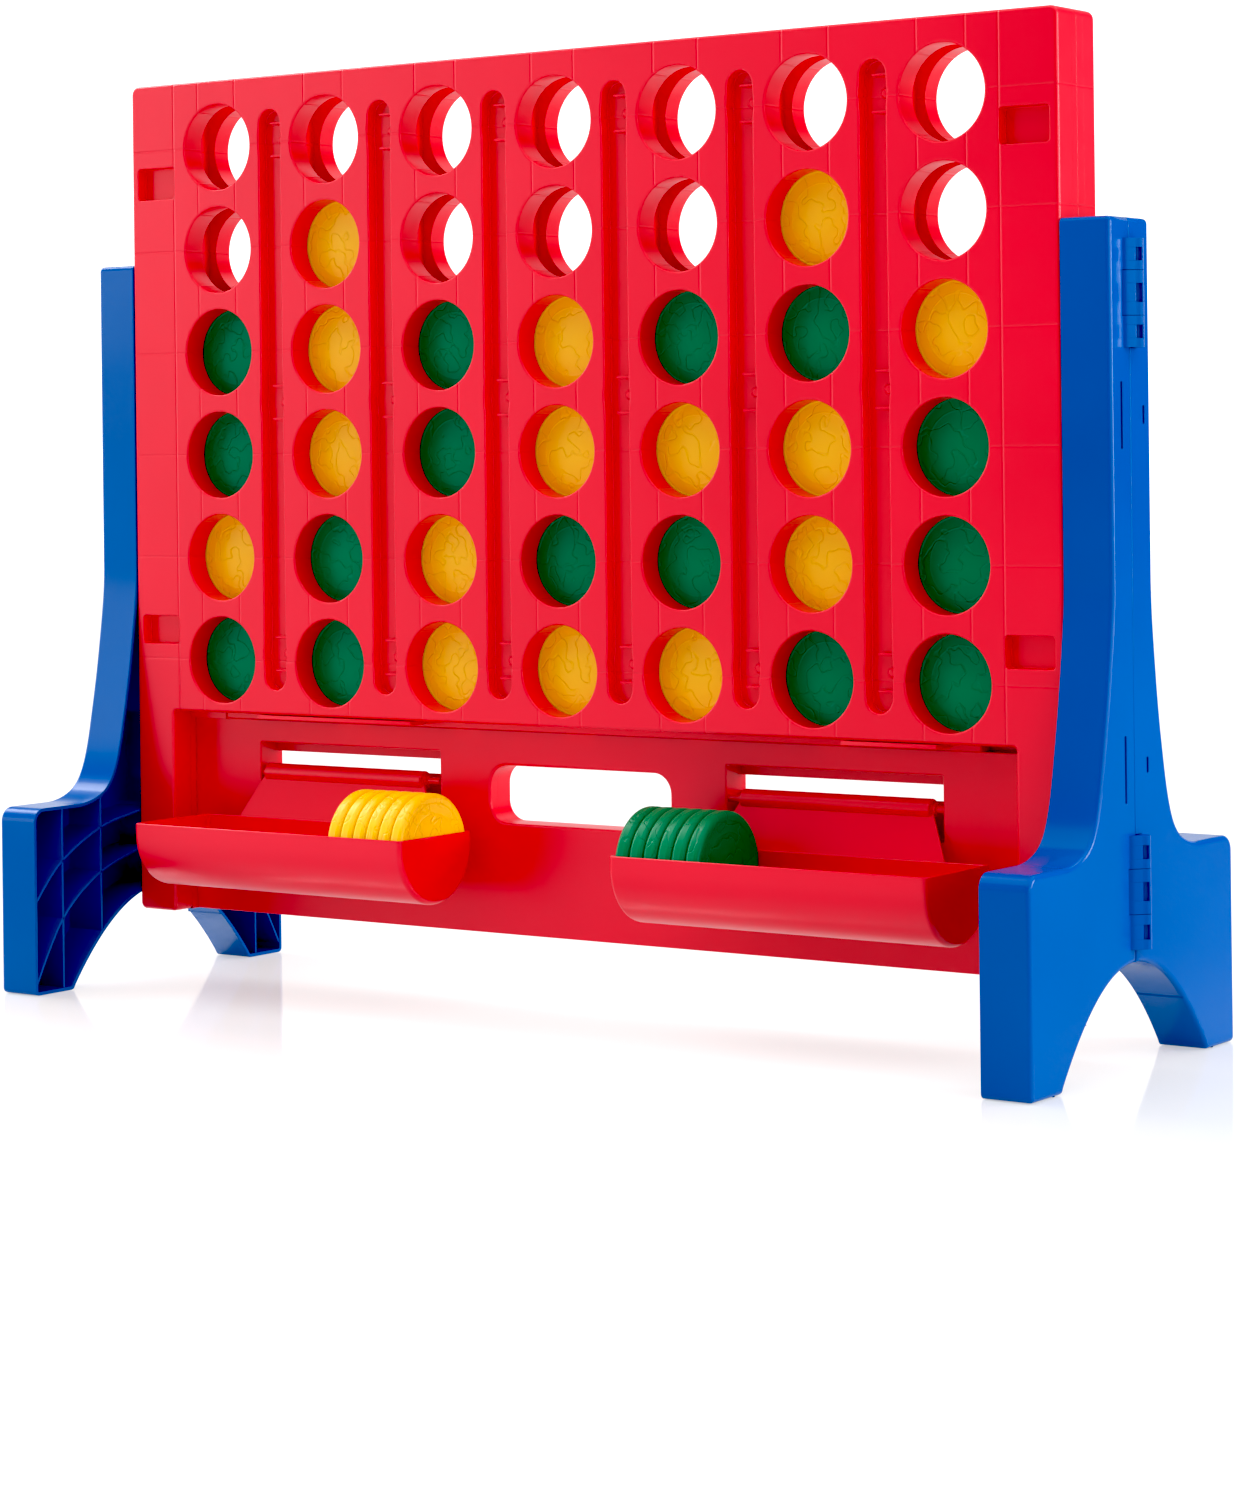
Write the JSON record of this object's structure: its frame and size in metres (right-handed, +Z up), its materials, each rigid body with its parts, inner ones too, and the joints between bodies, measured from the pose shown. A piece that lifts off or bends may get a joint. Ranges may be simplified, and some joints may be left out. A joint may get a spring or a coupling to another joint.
{
  "type": "giant four in a row game",
  "caption": "Upright garden game: red slotted board that holds dropped discs, on folding blue end legs, with a release bar, swinging front trays and loose green and yellow discs.",
  "frame": {"origin": "on the floor, under the middle of the board", "axes": "+X to the player's right along the board, +Y to the rear, +Z up"},
  "size_m": [1.2336, 0.382, 0.94],
  "materials": {
    "red_shell": "satin-gloss red moulded polypropylene",
    "blue_leg": "satin-gloss blue moulded polypropylene",
    "green_disc": "satin green moulded plastic",
    "yellow_disc": "satin yellow moulded plastic",
    "hinge_pin": "dull blue plastic pin"
  },
  "bodies": {
    "board": {"board_front_shell": "red_shell", "board_rear_shell": "red_shell", "leg_left_front": "blue_leg", "leg_right_front": "blue_leg", "hinge_pin_left_upper": "hinge_pin", "hinge_pin_left_lower": "hinge_pin", "hinge_pin_right_upper": "hinge_pin", "hinge_pin_right_lower": "hinge_pin"},
    "release_bar": {"release_bar": "red_shell"},
    "leg_left_rear_half": {"leg_left_rear": "blue_leg"},
    "leg_right_rear_half": {"leg_right_rear": "blue_leg"},
    "left_tray": {"tray_left": "red_shell"},
    "right_tray": {"tray_right": "red_shell"},
    "left_tray_discs": {"disc_yellow_tray_1": "yellow_disc", "disc_yellow_tray_2": "yellow_disc", "disc_yellow_tray_3": "yellow_disc", "disc_yellow_tray_4": "yellow_disc", "disc_yellow_tray_5": "yellow_disc", "disc_yellow_tray_6": "yellow_disc"},
    "right_tray_discs": {"disc_green_tray_1": "green_disc", "disc_green_tray_2": "green_disc", "disc_green_tray_3": "green_disc", "disc_green_tray_4": "green_disc", "disc_green_tray_5": "green_disc", "disc_green_tray_6": "green_disc"},
    "column_1_discs": {"disc_green_c1_r3": "green_disc", "disc_green_c1_r4": "green_disc", "disc_yellow_c1_r5": "yellow_disc", "disc_green_c1_r6": "green_disc"},
    "column_2_discs": {"disc_yellow_c2_r2": "yellow_disc", "disc_yellow_c2_r3": "yellow_disc", "disc_yellow_c2_r4": "yellow_disc", "disc_green_c2_r5": "green_disc", "disc_green_c2_r6": "green_disc"},
    "column_3_discs": {"disc_green_c3_r3": "green_disc", "disc_green_c3_r4": "green_disc", "disc_yellow_c3_r5": "yellow_disc", "disc_yellow_c3_r6": "yellow_disc"},
    "column_4_discs": {"disc_yellow_c4_r3": "yellow_disc", "disc_yellow_c4_r4": "yellow_disc", "disc_green_c4_r5": "green_disc", "disc_yellow_c4_r6": "yellow_disc"},
    "column_5_discs": {"disc_green_c5_r3": "green_disc", "disc_yellow_c5_r4": "yellow_disc", "disc_green_c5_r5": "green_disc", "disc_yellow_c5_r6": "yellow_disc"},
    "column_6_discs": {"disc_yellow_c6_r2": "yellow_disc", "disc_green_c6_r3": "green_disc", "disc_yellow_c6_r4": "yellow_disc", "disc_yellow_c6_r5": "yellow_disc", "disc_green_c6_r6": "green_disc"},
    "column_7_discs": {"disc_yellow_c7_r3": "yellow_disc", "disc_green_c7_r4": "green_disc", "disc_green_c7_r5": "green_disc", "disc_green_c7_r6": "green_disc"}
  },
  "joints": [
    {"name": "release_bar_slide", "type": "slide", "parent": "board", "child": "release_bar", "axis": [1, 0, 0], "range_m": [0, 0.0725]},
    {"name": "left_leg_fold", "type": "hinge", "parent": "board", "child": "leg_left_rear_half", "pos_m": [-0.605, 0, 0.4], "axis": [0, 0, 1], "range_deg": [0, 180]},
    {"name": "right_leg_fold", "type": "hinge", "parent": "board", "child": "leg_right_rear_half", "pos_m": [0.605, 0, 0.4], "axis": [0, 0, -1], "range_deg": [0, 180]},
    {"name": "left_tray_swing", "type": "hinge", "parent": "board", "child": "left_tray", "pos_m": [-0.295, 0.006, 0.22], "axis": [-1, 0, 0], "range_deg": [0, 55]},
    {"name": "right_tray_swing", "type": "hinge", "parent": "board", "child": "right_tray", "pos_m": [0.295, 0.006, 0.22], "axis": [-1, 0, 0], "range_deg": [0, 55]},
    {"name": "left_tray_discs_slide", "type": "slide", "parent": "left_tray", "child": "left_tray_discs", "axis": [-1, 0, 0], "range_m": [0, 0.24]},
    {"name": "right_tray_discs_slide", "type": "slide", "parent": "right_tray", "child": "right_tray_discs", "axis": [1, 0, 0], "range_m": [0, 0.24]},
    {"name": "column_1_lift", "type": "slide", "parent": "board", "child": "column_1_discs", "axis": [0, 0, 1], "range_m": [0, 0.66]},
    {"name": "column_2_lift", "type": "slide", "parent": "board", "child": "column_2_discs", "axis": [0, 0, 1], "range_m": [0, 0.66]},
    {"name": "column_3_lift", "type": "slide", "parent": "board", "child": "column_3_discs", "axis": [0, 0, 1], "range_m": [0, 0.66]},
    {"name": "column_4_lift", "type": "slide", "parent": "board", "child": "column_4_discs", "axis": [0, 0, 1], "range_m": [0, 0.66]},
    {"name": "column_5_lift", "type": "slide", "parent": "board", "child": "column_5_discs", "axis": [0, 0, 1], "range_m": [0, 0.66]},
    {"name": "column_6_lift", "type": "slide", "parent": "board", "child": "column_6_discs", "axis": [0, 0, 1], "range_m": [0, 0.66]},
    {"name": "column_7_lift", "type": "slide", "parent": "board", "child": "column_7_discs", "axis": [0, 0, 1], "range_m": [0, 0.66]}
  ]
}
